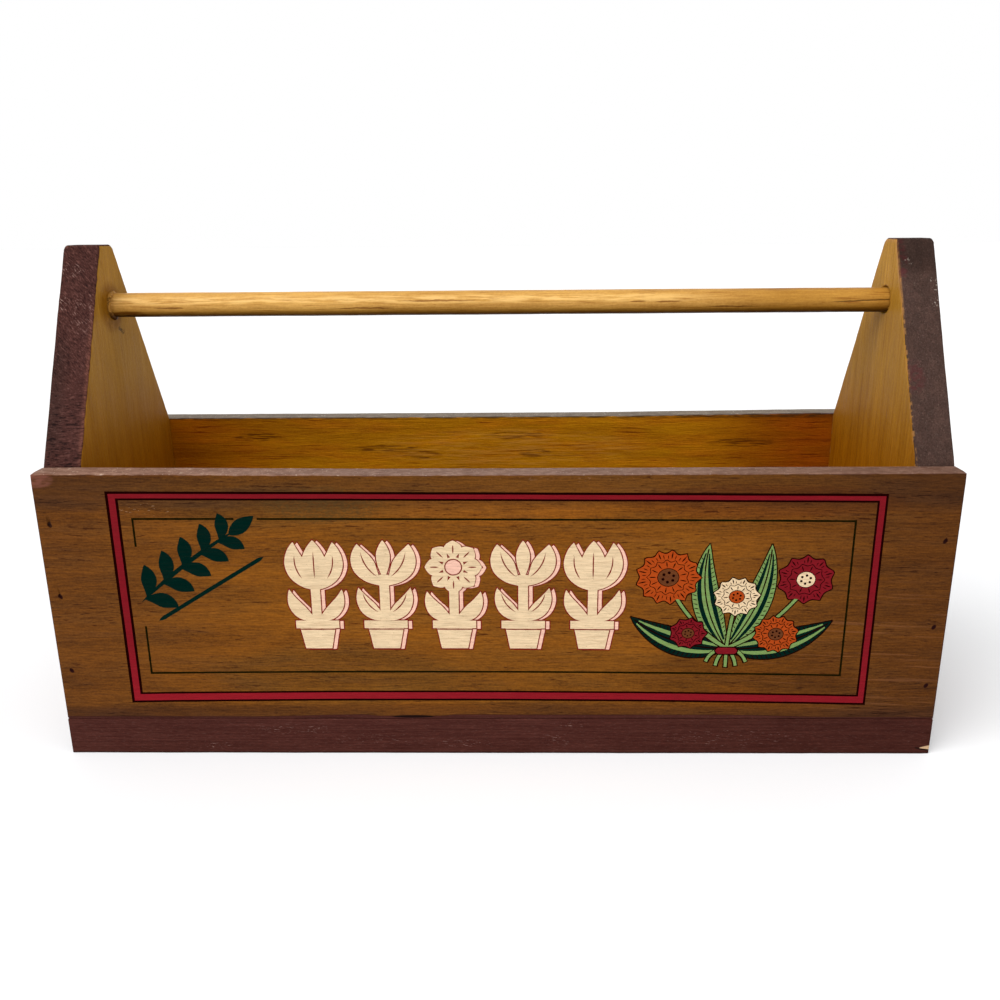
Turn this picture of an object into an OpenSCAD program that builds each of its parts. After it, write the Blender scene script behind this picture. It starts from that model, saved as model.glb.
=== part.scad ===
// Open wooden tote with a dowel handle, for seed packets and small garden tools.
// It stands on z = 0, its length runs along X and its front faces -Y.
// The origin is under the middle of the bottom board.

/* [Box] */
// Outside length, end to end
box_l = 445; // [320:1:600]
// Outside depth, front to back
box_d = 150; // [125:1:260]
// Height of the front and back rims above the table
rim_h = 150; // [115:1:180]
// Height of the end boards' flat tops above the table
end_h = 255; // [240:1:330]

/* [Boards] */
// Thickness of the bottom board
bottom_t = 20; // [14:0.5:26]
// Thickness of the front and back boards
side_t = 13; // [9:0.5:18]
// Thickness of the end boards
end_t = 19; // [16:0.5:26]
// Width of the flat top of an end board, above its slopes
end_top_w = 15; // [10:0.5:40]
// Width of the small bevel along the edges of every board
arris = 0.6; // [0.2:0.1:1.5]

/* [Handle] */
// Diameter of the dowel
dowel_d = 12.7; // [9:0.1:18]
// Drop from the end boards' tops to the middle of the dowel
dowel_drop = 31; // [20:0.5:45]
// Depth of the blind socket in each end board
socket_depth = 9.5; // [5:0.5:12]
// Width of the bevel round each end of the dowel
dowel_bevel = 0.8; // [0.2:0.1:2]

/* [Brads through the front and back boards] */
// Length of a brad
brad_l = 32; // [24:1:38]
// Diameter of a brad's shank
brad_d = 1.6; // [1.2:0.1:2]
// Diameter of a brad's head
brad_head_d = 2.4; // [2.1:0.1:3]
// How deep a brad's head is punched below the wood
brad_sink = 1; // [0.2:0.1:2]
// Distance of the brads from the end of the board
brad_inset = 6; // [4:0.5:8]
// Height of the lowest left brad above the bottom board
left_brad_low = 27.5; // [12:0.5:40]
// Drop from the rim to the highest left brad
left_brad_high = 24.5; // [12:0.5:40]
// How far the middle left brad sits below halfway
left_brad_stray = -1.5; // [-6:0.5:6]
// Height of the lowest right brad above the bottom board
right_brad_low = 19; // [12:0.5:40]
// Drop from the rim to the highest right brad
right_brad_high = 34; // [12:0.5:40]
// How far the middle right brad sits below halfway
right_brad_stray = 6.5; // [-7:0.5:7]

/* [Nails up through the bottom board] */
// Length of a nail
nail_l = 45; // [38:1:50]
// Diameter of a nail's shank
nail_d = 1.8; // [1.4:0.1:2.4]
// Diameter of a nail's head
nail_head_d = 4; // [3:0.1:5]
// How deep a nail's head is punched below the wood
nail_sink = 0.8; // [0.2:0.1:2]
// Nails along the front board, and as many along the back board
long_nails = 4; // [2:1:6]
// Distance of the outermost of these nails from the end board
long_nail_inset = 16; // [8:1:30]

/* [Fits] */
// Gap all round the dowel in its sockets
socket_gap = 0.15; // [0.05:0.05:0.4]
// Gap between the dowel's end and the bottom of its socket
socket_end_gap = 0.5; // [0.2:0.1:1]
// Gap all round a brad or nail in its hole
nail_gap = 0.05; // [0.02:0.01:0.15]
// Wood left between the tips of the brads and the nails in the end boards
tip_margin = 6; // [3:0.5:8]

/* [Hidden] */
$fn = 48;
// how far a cutting shape runs past the wood that it cuts
past = 1;
// thickness of a brad's or nail's head, and length of its point, as shares of its shank
head_share = 0.5;
point_share = 2;
brads_per_end = 3;
nails_per_end = 3;

half_l = box_l / 2;
half_d = box_d / 2;
wall_h = rim_h - bottom_t;
end_w = box_d - 2 * side_t;
socket_x = half_l - end_t;
dowel_z = end_h - dowel_drop;
dowel_l = 2 * (socket_x + socket_depth - socket_end_gap);
brad_x = half_l - brad_inset;
long_nail_x = socket_x - long_nail_inset;
end_nail_y = half_d - brad_sink - brad_l - tip_margin;

// side view of an end board: straight up to the rim, then sloping in to its flat top
end_outline = [
    [-end_w / 2, bottom_t],
    [end_w / 2, bottom_t],
    [end_w / 2, rim_h],
    [end_top_w / 2, end_h],
    [-end_top_w / 2, end_h],
    [-end_w / 2, rim_h]
];

// heights of the brads at one end, from the lowest up
function brad_heights(low, high, stray) =
    let (z0 = bottom_t + low, z1 = rim_h - high)
    [z0, (z0 + z1) / 2 - stray, z1];

left_brad_z = brad_heights(left_brad_low, left_brad_high, left_brad_stray);
right_brad_z = brad_heights(right_brad_low, right_brad_high, right_brad_stray);

// count places spread evenly from -reach to reach
function spread(count, reach) = [for (i = [0:count - 1]) -reach + 2 * reach * i / (count - 1)];

// outline of a rectangle w by h around the origin
function rectangle(w, h) = [[-w / 2, -h / 2], [w / 2, -h / 2], [w / 2, h / 2], [-w / 2, h / 2]];

// square rod lying along one edge of a board, which takes off its arris
module arris_rod(p, q, z) {
    run = q - p;
    translate([p.x, p.y, z])
        rotate([0, 90, atan2(run.y, run.x)])
            translate([0, 0, -past])
                rotate(45)
                    linear_extrude(norm(run) + 2 * past)
                        square(arris * sqrt(2), center = true);
}

// flat board t thick from z = 0 up, with a convex outline and bevelled edges
module board(outline, t) {
    count = len(outline);
    difference() {
        linear_extrude(t)
            polygon(outline);
        for (i = [0:count - 1], z = [0, t])
            arris_rod(outline[i], outline[(i + 1) % count], z);
    }
}

// one brad or nail pointing along +Z, with its head's face on z = 0
module fastener(shank_d, head_d, length) {
    head_h = head_share * shank_d;
    point_l = point_share * shank_d;
    rotate_extrude()
        polygon([
            [0, 0],
            [head_d / 2, 0],
            [head_d / 2, head_h],
            [shank_d / 2, head_h],
            [shank_d / 2, length - point_l],
            [0, length]
        ]);
}

// the hole that a fastener leaves, from sink below its head to its tip
module fastener_hole(shank_d, head_d, length, sink) {
    head_h = head_share * shank_d;
    cylinder(d = shank_d + 2 * nail_gap, h = length + nail_gap);
    translate([0, 0, -sink - past])
        cylinder(d = head_d + 2 * nail_gap, h = sink + past + head_h + nail_gap);
}

module brad() {
    fastener(brad_d, brad_head_d, brad_l);
}

module brad_hole() {
    fastener_hole(brad_d, brad_head_d, brad_l, brad_sink);
}

module nail() {
    fastener(nail_d, nail_head_d, nail_l);
}

module nail_hole() {
    fastener_hole(nail_d, nail_head_d, nail_l, nail_sink);
}

// puts a brad or its hole at each height of one end; face is -1 for the front, 1 for the back
module at_brads(x, heights, face) {
    for (z = heights)
        translate([x, face * (half_d - brad_sink), z])
            rotate([face * 90, 0, 0])
                children();
}

// puts a nail or its hole under one end board; side is -1 for the left, 1 for the right
module at_end_nails(side) {
    for (y = spread(nails_per_end, end_nail_y))
        translate([side * (half_l - end_t / 2), y, nail_sink])
            children();
}

// puts a nail or its hole along the front or the back board
module at_long_nails(face) {
    for (x = spread(long_nails, long_nail_x))
        translate([x, face * (half_d - side_t / 2), nail_sink])
            children();
}

module bottom_board() {
    color("#4a2420")
        difference() {
            board(rectangle(box_l, box_d), bottom_t);
            for (side = [-1, 1]) {
                at_end_nails(side)
                    nail_hole();
                at_long_nails(side)
                    nail_hole();
            }
        }
}

// front board for face -1, back board for face 1
module side_board(face) {
    color("#9a6a34")
        difference() {
            translate([0, face * (half_d - side_t / 2) + side_t / 2, bottom_t + wall_h / 2])
                rotate([90, 0, 0])
                    board(rectangle(box_l, wall_h), side_t);
            at_brads(-brad_x, left_brad_z, face)
                brad_hole();
            at_brads(brad_x, right_brad_z, face)
                brad_hole();
            at_long_nails(face)
                nail_hole();
        }
}

module front_board() {
    side_board(-1);
}

module back_board() {
    side_board(1);
}

// left end board for side -1, right end board for side 1
module end_board(side, brad_z) {
    color("#a9793c")
        difference() {
            translate([side * (half_l - end_t / 2) - end_t / 2, 0, 0])
                rotate([90, 0, 90])
                    board(end_outline, end_t);
            translate([side * socket_x, 0, dowel_z])
                rotate([0, side * 90, 0])
                    translate([0, 0, -past])
                        cylinder(d = dowel_d + 2 * socket_gap, h = socket_depth + past);
            for (face = [-1, 1])
                at_brads(side * brad_x, brad_z, face)
                    brad_hole();
            at_end_nails(side)
                nail_hole();
        }
}

module left_end() {
    end_board(-1, left_brad_z);
}

module right_end() {
    end_board(1, right_brad_z);
}

module handle_dowel() {
    radius = dowel_d / 2;
    reach = dowel_l / 2;
    color("#c98f45")
        translate([0, 0, dowel_z])
            rotate([0, 90, 0])
                rotate_extrude($fn = 96)
                    polygon([
                        [0, -reach],
                        [radius - dowel_bevel, -reach],
                        [radius, dowel_bevel - reach],
                        [radius, reach - dowel_bevel],
                        [radius - dowel_bevel, reach],
                        [0, reach]
                    ]);
}

module front_left_brads() {
    color("#2a2420")
        at_brads(-brad_x, left_brad_z, -1)
            brad();
}

module front_right_brads() {
    color("#2a2420")
        at_brads(brad_x, right_brad_z, -1)
            brad();
}

module back_left_brads() {
    color("#2a2420")
        at_brads(-brad_x, left_brad_z, 1)
            brad();
}

module back_right_brads() {
    color("#2a2420")
        at_brads(brad_x, right_brad_z, 1)
            brad();
}

module bottom_left_nails() {
    color("#5c5650")
        at_end_nails(-1)
            nail();
}

module bottom_right_nails() {
    color("#5c5650")
        at_end_nails(1)
            nail();
}

module bottom_front_nails() {
    color("#5c5650")
        at_long_nails(-1)
            nail();
}

module bottom_back_nails() {
    color("#5c5650")
        at_long_nails(1)
            nail();
}

bottom_board();
front_board();
back_board();
left_end();
right_end();
handle_dowel();
front_left_brads();
front_right_brads();
back_left_brads();
back_right_brads();
bottom_left_nails();
bottom_right_nails();
bottom_front_nails();
bottom_back_nails();
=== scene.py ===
import math

import bpy
import numpy as np
from mathutils import Matrix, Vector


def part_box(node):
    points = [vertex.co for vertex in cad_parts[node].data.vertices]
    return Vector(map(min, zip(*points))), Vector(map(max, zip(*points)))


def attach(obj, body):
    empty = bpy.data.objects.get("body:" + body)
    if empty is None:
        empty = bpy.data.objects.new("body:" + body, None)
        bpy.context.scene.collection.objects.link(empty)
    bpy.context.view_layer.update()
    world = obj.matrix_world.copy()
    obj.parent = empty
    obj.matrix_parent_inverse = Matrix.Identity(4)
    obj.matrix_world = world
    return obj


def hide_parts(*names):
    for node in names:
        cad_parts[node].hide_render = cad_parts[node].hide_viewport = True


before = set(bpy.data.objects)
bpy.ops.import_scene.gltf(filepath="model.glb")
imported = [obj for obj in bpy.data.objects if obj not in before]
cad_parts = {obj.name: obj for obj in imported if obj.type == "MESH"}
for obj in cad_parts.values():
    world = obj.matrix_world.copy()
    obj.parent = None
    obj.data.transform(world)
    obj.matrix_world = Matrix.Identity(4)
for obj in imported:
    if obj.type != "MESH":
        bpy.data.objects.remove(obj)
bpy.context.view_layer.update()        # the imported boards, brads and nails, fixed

mm = 0.001


def corners(node):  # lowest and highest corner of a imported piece, in mm
    low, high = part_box(node)
    return np.array(low) / mm, np.array(high) / mm


frontLow, frontHigh = corners("front_board")
backLow, backHigh = corners("back_board")
bottomLow, bottomHigh = corners("bottom_board")
leftLow, leftHigh = corners("left_end")
rightLow, rightHigh = corners("right_end")
dowelLow, dowelHigh = corners("handle_dowel")
rimZ = frontHigh[2]
printRoom = 0.28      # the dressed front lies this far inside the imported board, to leave room for the ink


# camera, lights and floor

def placed(name, data):
    made = bpy.data.objects.new(name, data)
    bpy.context.scene.collection.objects.link(made)
    return made


view = {
    "place": (10.6, -503.4, 266.0),    # mm, in front of the box and a little above its handle
    "down": 16.69,                     # degrees below level
    "turn": -1.07,                     # degrees, to the right is positive
    "roll": -0.51,
    "focal": 936.3,                    # focal length in pixels of the 1000 pixel picture
    "picture": 1000.0,
}


def makeCamera(spec):
    # forward = (sin t cos d, cos t cos d, -sin d); right and up follow, turned by the roll
    turn, down, roll = (math.radians(spec[k]) for k in ("turn", "down", "roll"))
    forward = np.array([math.sin(turn) * math.cos(down), math.cos(turn) * math.cos(down), -math.sin(down)])
    level = np.array([math.cos(turn), -math.sin(turn), 0.0])
    upright = np.cross(level, forward)
    right = math.cos(roll) * level + math.sin(roll) * upright
    up = math.cos(roll) * upright - math.sin(roll) * level
    turned = Matrix(np.column_stack([right, up, -forward]).tolist())
    camera = placed("photo_camera", bpy.data.cameras.new("photo_camera"))
    camera.rotation_euler = turned.to_euler()
    camera.location = np.array(spec["place"]) * mm
    camera.data.sensor_width = 36.0
    camera.data.lens = spec["focal"] / spec["picture"] * camera.data.sensor_width
    camera.data.clip_start = 0.01
    camera.data.clip_end = 60.0
    bpy.context.scene.camera = camera


makeCamera(view)


class Wire:
    # a socket that can stand in a sum: every operator adds one Math node
    def __init__(self, nodes, socket):
        self.nodes = nodes
        self.socket = socket

    def __add__(self, other):
        return self.nodes.math("ADD", self, other)

    def __sub__(self, other):
        return self.nodes.math("SUBTRACT", self, other)

    def __rsub__(self, other):
        return self.nodes.math("SUBTRACT", other, self)

    def __mul__(self, other):
        return self.nodes.math("MULTIPLY", self, other)

    def __truediv__(self, other):
        return self.nodes.math("DIVIDE", self, other)

    def __abs__(self):
        return self.nodes.math("ABSOLUTE", self)

    __radd__, __rmul__ = __add__, __mul__

    def held(self):
        return self.nodes.math("ADD", self, 0.0, clamp=True)

    def step(self, low, high):
        # 0 below low, 1 above high, smooth between
        ramp = self.nodes.node(
            "ShaderNodeMapRange", {"interpolation_type": "SMOOTHSTEP"},
            {"Value": self, "From Min": low, "From Max": high, "To Min": 0.0, "To Max": 1.0})
        return Wire(self.nodes, ramp.outputs[0])

    def fall(self, low, high):
        # 1 below low, 0 above high
        return 1.0 - self.step(low, high)


class Nodes:
    # the node tree of a material or of the world
    def __init__(self, holder):
        holder.use_nodes = True
        self.tree = holder.node_tree
        self.tree.nodes.clear()

    def feed(self, socket, value):
        if isinstance(value, Wire):
            value = value.socket
        if isinstance(value, bpy.types.NodeSocket):
            self.tree.links.new(value, socket)
        elif isinstance(value, (tuple, list)) and socket.type == "RGBA":
            socket.default_value = (*value[:3], 1.0)
        else:
            socket.default_value = value

    def node(self, kind, settings={}, sockets={}):
        # any node: its type, its settings, then values or links for its sockets
        added = self.tree.nodes.new(kind)
        for key, value in settings.items():
            setattr(added, key, value)
        for key, value in sockets.items():
            self.feed(added.inputs[key], value)
        return added

    def math(self, operation, *values, clamp=False):
        settings = {"operation": operation, "use_clamp": clamp}
        return Wire(self, self.node("ShaderNodeMath", settings, dict(enumerate(values))).outputs[0])


class Finish(Nodes):
    # one material, read in mm on the object's own coordinates; self.colour is what is laid so far
    def __init__(self, name):
        self.material = bpy.data.materials.new(name)
        super().__init__(self.material)
        place = self.node("ShaderNodeTexCoord").outputs["Object"]
        apart = self.node("ShaderNodeSeparateXYZ", {}, {0: place})
        self.x, self.y, self.z = (Wire(self, s) * (1 / mm) for s in apart.outputs)

    def noise(self, x, y, z, detail=2.0, rough=0.5):
        # noise over three lengths that are already divided by their grain sizes
        at = self.node("ShaderNodeCombineXYZ", {}, {0: x, 1: y, 2: z})
        made = self.node("ShaderNodeTexNoise", {"noise_dimensions": "3D"}, {
            "Vector": at.outputs[0], "Scale": 1.0, "Detail": detail, "Roughness": rough, "Distortion": 0.0})
        return Wire(self, made.outputs[0])

    def grit(self, x, y, z, detail=2.0, rough=0.5):
        # noise over the piece itself, with grains of this size in mm along x, y and z
        return self.noise(self.x / x, self.y / y, self.z / z, detail, rough)

    def mix(self, first, second, share):
        # colour: first where share is 0, second where it is 1
        return self.node("ShaderNodeMix", {"data_type": "RGBA", "clamp_factor": True},
                         {0: share, 6: first, 7: second}).outputs[2]

    def vector(self, operation, colour, sockets):
        return self.node("ShaderNodeVectorMath", {"operation": operation}, {0: colour, **sockets}).outputs[0]

    def scaled(self, colour, amount):
        return self.vector("SCALE", colour, {"Scale": amount})

    def tint(self, colour, tint, share):
        # colour, multiplied by tint where share is 1
        return self.mix(colour, self.vector("MULTIPLY", colour, {1: tint}), share)

    def lay(self, colour, share):
        self.colour = self.mix(self.colour, colour, share)

    def wash(self, tint, share):
        self.colour = self.tint(self.colour, tint, share)

    def spot(self, across, up, place, size):
        # 1 at place, 0 outside an ellipse of that half size
        u, v = (across - place[0]) / size[0], (up - place[1]) / size[1]
        return (u * u + v * v).fall(0.35, 1.0)

    def patch(self, x, z, wide, high):
        # a spot as it is seen from the front
        return self.spot(self.x, self.z, (x, z), (wide, high))

    def edge(self):
        # distance in mm from the nearest painted edge, kept on the board's points
        return Wire(self, self.node("ShaderNodeAttribute", {"attribute_name": "fromEdge"}).outputs["Fac"])

    def close(self, colour, roughness, height, relief, shine, metal=0.0):
        # ends the material in one Principled shader; height is in mm
        bump = self.node("ShaderNodeBump", {}, {"Strength": relief, "Distance": mm, "Height": height})
        shader = self.node("ShaderNodeBsdfPrincipled", {}, {
            "Base Color": colour, "Roughness": roughness, "Metallic": metal, "Specular IOR Level": shine,
            "Normal": bump.outputs[0]})
        self.node("ShaderNodeOutputMaterial", {}, {0: shader.outputs[0]})
        return self.material


studio = {
    "sky": 0.55,            # strength of the white surroundings
    "lamps": {              # where the light comes from, strength, and how wide it looks in degrees
        "key_lamp": ((-0.46, -0.50, 0.74), 2.5, 50),
        "fill_lamp": ((0.50, -0.60, 0.62), 0.5, 70)},
    "floorShade": (0.82, 0.82, 0.825),
    "floorLift": (0.10, 0.105, 0.11),   # what the camera sees added to the floor, so that it reads white
    "floorReach": 9000,     # mm
    "cloud": 900,           # mm across the faint clouds in the floor's paper
}


def makeLamp(name, toward, strength, width):
    lamp = bpy.data.lights.new(name, "SUN")
    lamp.energy = strength
    lamp.angle = math.radians(width)
    held = placed(name, lamp)
    held.location = toward
    held.rotation_euler = (-held.location).to_track_quat("-Z", "Y").to_euler()


def makeStudio(spec):
    scene = bpy.context.scene
    scene.view_settings.view_transform = "Standard"
    scene.world = bpy.data.worlds.new("white_room")
    room = Nodes(scene.world)
    path = room.node("ShaderNodeLightPath")
    seen = room.math("MAXIMUM", path.outputs["Is Camera Ray"], path.outputs["Is Glossy Ray"])
    strength = room.node("ShaderNodeMapRange", {}, {"Value": seen, "To Min": spec["sky"], "To Max": 1.0})
    sky = room.node("ShaderNodeBackground", {}, {"Color": (1.0, 1.0, 1.0), "Strength": strength.outputs[0]})
    room.node("ShaderNodeOutputWorld", {}, {0: sky.outputs[0]})
    for name, lamp in spec["lamps"].items():
        makeLamp(name, *lamp)

    floorMesh = bpy.data.meshes.new("pale_floor")
    reach = spec["floorReach"] * mm
    square = [(-reach, -reach, 0), (reach, -reach, 0), (reach, reach, 0), (-reach, reach, 0)]
    floorMesh.from_pydata(square, [], [(0, 1, 2, 3)])
    paint = Finish("floor_paper")
    seen = Wire(paint, paint.node("ShaderNodeLightPath").outputs["Is Camera Ray"])
    shade = paint.grit(spec["cloud"], spec["cloud"], 1, 1)
    shader = paint.node("ShaderNodeBsdfPrincipled", {}, {
        "Base Color": paint.scaled(spec["floorShade"], 0.98 + 0.04 * shade), "Roughness": 0.9,
        "Specular IOR Level": 0.1, "Emission Color": paint.scaled(spec["floorLift"], seen),
        "Emission Strength": 1.0})
    paint.node("ShaderNodeOutputMaterial", {}, {0: shader.outputs[0]})
    floorMesh.materials.append(paint.material)
    placed("pale_floor", floorMesh)


makeStudio(studio)
print("camera and studio ready")


# surfaces

def ripple(t, seed, waves=((83.0, 1.0), (29.0, 0.6), (9.5, 0.35))):
    # sum of share * sin(2 pi t / length + phase), scaled to lie between -1 and 1
    phase = np.random.RandomState(seed).uniform(0, 2 * math.pi, len(waves))
    total = sum(share for length, share in waves)
    swings = (share * np.sin(2 * math.pi * t / length + p) for (length, share), p in zip(waves, phase))
    return sum(swings) / total


def lines(low, high, step, near=(), reach=1.9, fine=0.3):
    # even values from low to high, with a fine set round each value of near
    sets = [np.linspace(low, high, max(2, int(round((high - low) / step)) + 1))]
    sets += [np.arange(middle - reach, middle + reach + fine / 2, fine) for middle in near]
    every = np.unique(np.concatenate(sets))
    every = every[(every >= low) & (every <= high)]
    apart = np.concatenate(([True], np.diff(every) > fine * 0.45))
    apart[-1] = True
    return every[apart]


def gridFaces(rows, around, meet=False):
    # four-sided faces on a grid whose rows close on themselves; with meet the last row joins the first
    row, col = np.meshgrid(np.arange(rows if meet else rows - 1), np.arange(around), indexing="ij")
    here, below, after = row * around, (row + 1) % rows * around, (col + 1) % around
    return np.stack([here + col, here + after, below + after, below + col], -1).reshape(-1, 4)


def closedLoop(rings):
    # rings[i, j] is point j of ring i; the rings close on themselves, and the last one meets the first
    return rings.reshape(-1, 3), gridFaces(*rings.shape[:2], True)[:, [0, 3, 2, 1]].tolist()


def closedTube(rings):
    # as closedLoop, but the first and the last ring each close on a middle point
    rows, around = rings.shape[:2]
    points = np.vstack([rings.reshape(-1, 3), rings[0].mean(0), rings[-1].mean(0)])
    quads = gridFaces(rows, around)
    edge = np.arange(around)
    after = (edge + 1) % around
    start = np.stack([after, edge, np.full(around, rows * around)], -1)
    end = np.stack([edge, after, np.full(around, around + 1)], -1) + (rows - 1) * around
    tris = np.vstack([start, end, quads[:, [0, 1, 2]], quads[:, [0, 2, 3]]])
    a, b, c = (points[tris[:, k]] for k in range(3))
    outward = np.einsum("ij,ij->i", a - points[0], np.cross(b - points[0], c - points[0])).sum() > 0
    faces = quads.tolist() + start.tolist() + end.tolist()
    return points, faces if outward else [f[::-1] for f in faces]


def makePiece(name, shells, material, replaced=(), smooth=True, edge=None):
    # joins closed shells, given in mm, into one mesh that rides on the box
    points = np.vstack([s[0] for s in shells])
    starts = np.cumsum([0] + [len(s[0]) for s in shells])
    faces = [[start + v for v in f] for start, s in zip(starts, shells) for f in s[1]]
    mesh = bpy.data.meshes.new(name)
    mesh.from_pydata((points * mm).tolist(), [], faces)
    mesh.polygons.foreach_set("use_smooth", [smooth] * len(faces))
    if edge is not None:
        mesh.attributes.new("fromEdge", "FLOAT", "POINT").data.foreach_set("value", edge.astype(np.float32))
    mesh.materials.append(material)
    mesh.update()
    piece = placed(name, mesh)
    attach(piece, "root")
    if replaced:
        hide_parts(*replaced)


def sectionWalk(upLines, downLines, sideLines, bend=4):
    # once round a rectangle with round corners: rows (cx, cy, nx, ny) for the place c * (half - r) + n * r
    def row(cx, cy, nx, ny):
        return np.column_stack(np.broadcast_arrays(np.asarray(cx, float), cy, nx, ny))

    def arc(cx, cy, start):
        angle = np.radians(start - np.arange(1, bend) * 90 / bend)
        return row(np.full(bend - 1, cx), cy, np.cos(angle), np.sin(angle))

    return np.vstack([
        row(upLines, 1, 0, 1), arc(1, 1, 90),
        row(np.ones(len(sideLines)), -sideLines, 1, 0), arc(1, -1, 0),
        row(-downLines, -1, 0, -1), arc(-1, -1, -90),
        row(-np.ones(len(sideLines)), sideLines, -1, 0), arc(-1, 1, 180)])


def tilted(u, v, lean):
    # two lengths, or two wires, seen along axes that lean by this many degrees
    c, s = math.cos(math.radians(lean)), math.sin(math.radians(lean))
    return u * c + v * s, v * c - u * s


def boardShell(spec):
    # a rounded rectangle carried along the grain: place = (a, c * (W(a) - r) + n * r, c * (H - r) + n * r),
    # where both ends round off over r, W(a) is the half width and holes and chips push the surface in
    low, high, half = spec["low"], spec["high"], spec["thick"] / 2
    seed, turns = spec["seed"], 4
    ends = np.radians(np.linspace(87, 90 / turns, turns))
    near = {"reach": spec.get("nearReach", 1.9), "fine": spec.get("fine", 0.3)}
    body = lines(low + spec["arris"], high - spec["arris"], spec["step"], spec.get("nearAlong", ()), **near)
    radius = spec["arris"] * (1 + 0.3 * ripple(body, seed))
    r0, r1 = radius[0], radius[-1]
    along = np.concatenate([low + r0 * (1 - np.sin(ends)), body, (high - r1 * (1 - np.sin(ends)))[::-1]])
    full = np.concatenate([np.cos(ends), np.ones(len(body)), np.cos(ends)[::-1]])
    radius = np.concatenate([np.full(turns, r0), radius, np.full(turns, r1)])
    width = spec["halfWidth"](along)
    rough, waves = spec.get("rough", 0.12), spec.get("edgeWaves", ((61, 1), (17, 0.6), (5.3, 0.5)))
    plus, minus = (width - rough * (0.5 + 0.5 * ripple(along, seed + k, waves)) for k in (1, 2))
    plus = plus + spec.get("rise", np.zeros_like)(along)
    guard = spec["lineWidth"] - spec["arris"]

    def faceLines(places):
        inner = lines(-guard, guard, spec["step"], places, **near)
        keep = np.abs(inner) < guard - 1.4
        return np.concatenate([[-1, -1 + 0.35 / guard, -1 + 1.1 / guard], inner[keep] / guard,
                               [1 - 1.1 / guard, 1 - 0.35 / guard, 1]])

    sides = np.array([-1, -0.85, -0.4, 0, 0.4, 0.85, 1])
    walk = sectionWalk(faceLines(spec.get("nearUp", ())), faceLines(spec.get("nearDown", ())), sides)
    cx, cy, nx, ny = (walk[:, k][None, :] for k in range(4))
    r, k = radius[:, None], full[:, None]
    across = np.where(cx >= 0, cx * (plus[:, None] - r), cx * (minus[:, None] - r)) + nx * r * k
    thick = cy * (half - r) + ny * r * k
    rings = np.stack([np.broadcast_to(along[:, None], across.shape), across, thick], -1).copy()
    side = np.broadcast_to(np.where(nx == 0, ny, 0), across.shape)
    for a, c, size, lean, depth, face in spec.get("holes", ()):
        u, v = tilted(rings[..., 0] - a, rings[..., 1] - c, lean)     # an oval dent, its wall lip wide
        away, lip = np.hypot(u / size[0], v / size[1]), spec.get("lip", 0.3)
        rings[..., 2] -= face * depth * np.clip(1 + (1 - away) * min(size) / lip, 0, 1) * (side == face)
    for a, c, t, size, depth in spec.get("chips", ()):
        toward = np.array([0.0, -np.sign(c), -np.sign(t)])
        away = np.linalg.norm(rings - np.array([a, c, t]), axis=-1) / size
        rings += depth * np.clip(1 - away ** 2, 0, 1)[..., None] * toward

    def cap(ring, middle):
        # two smaller copies of an end ring, from the inside out
        return np.array([np.column_stack([ring[:, 0], middle + (ring[:, 1] - middle) * s, ring[:, 2] * s])
                         for s in (0.35, 0.7)])

    middle = 0.5 * (plus - minus)
    startCap, endCap = cap(rings[0], middle[0]), cap(rings[-1], middle[-1])[::-1]
    edge = np.minimum(np.minimum(plus[:, None] - across, minus[:, None] + across),
                      np.minimum(along - low, high - along)[:, None])
    edge = np.pad(edge.ravel(), (2 * across.shape[1], 2 * across.shape[1] + 2))
    local, faces = closedTube(np.concatenate([startCap, rings, endCap]))
    order = list(spec["axes"])       # which world axis is along, across and thick
    world = np.empty_like(local)
    world[:, order] = local + spec["centre"]
    swapped = np.linalg.det(np.eye(3)[order]) < 0
    return (world, [f[::-1] for f in faces] if swapped else faces), edge


# wood, paint and ink

def woodGrain(f, along, across, depth, look):
    # bands, growth lines, fibres, mottling, streaks and dashes of one board, each 0 to 1; lengths in mm
    seed, wide = look["seed"], look.get("wide", 1.05)
    long, thin = look.get("streakSize", (17.0, 0.50))
    bend = f.noise(along / 130 + seed, across / 60, depth / 60, detail=1) - 0.5
    line = across + look.get("bend", 6.0) * bend
    bands = f.noise(along / 150, line / 12 + seed, depth / 12, detail=2)
    growth = f.noise(along / 26 + seed, line / wide, depth / wide, detail=3, rough=0.65)
    fibre = f.noise(along / 5, line / 0.7 + seed, depth / 0.7, detail=2, rough=0.6)
    mottle = f.noise(along / 1.3, across / 0.9 + seed, depth / 0.9, detail=2, rough=0.6)
    patches = f.noise(along / 40, line / 8, depth / 8 + seed, detail=2, rough=0.6)
    streaks = f.noise(along / long + seed, line / thin, depth / thin, detail=2) + 0.35 * (patches - 0.5)
    dashes = f.noise(along / 5.5 - seed, line / 0.6, depth / 0.6, detail=1) + 0.5 * (patches - 0.5)
    grain = {"bands": bands.step(0.3, 0.7), "growth": growth.step(0.3, 0.7), "fibre": fibre.step(0.3, 0.7)}
    return {**grain, "mottle": mottle.step(0.3, 0.7), "patches": patches,
            "streaks": streaks.step(*look.get("streakBand", (0.52, 0.72))),
            "dashes": dashes.step(*look.get("dashBand", (0.74, 0.82)))}


def woodColour(f, grain, look):
    # stain over the grain: dark to light, another cast in clouds, then the streaks and dashes
    shares = look.get("shares", (0.34, 0.30, 0.18, 0.18))
    tone = (shares[0] * grain["bands"] + shares[1] * grain["growth"] + shares[2] * grain["fibre"]
            + shares[3] * grain["mottle"])
    colour = f.mix(look["dark"], look["light"], tone)
    if "cast" in look:
        colour = f.tint(colour, look["cast"], grain["patches"].step(0.42, 0.66))
    colour = f.tint(colour, look["streak"], grain["streaks"])
    return f.tint(colour, look["dash"], grain["dashes"])


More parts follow.
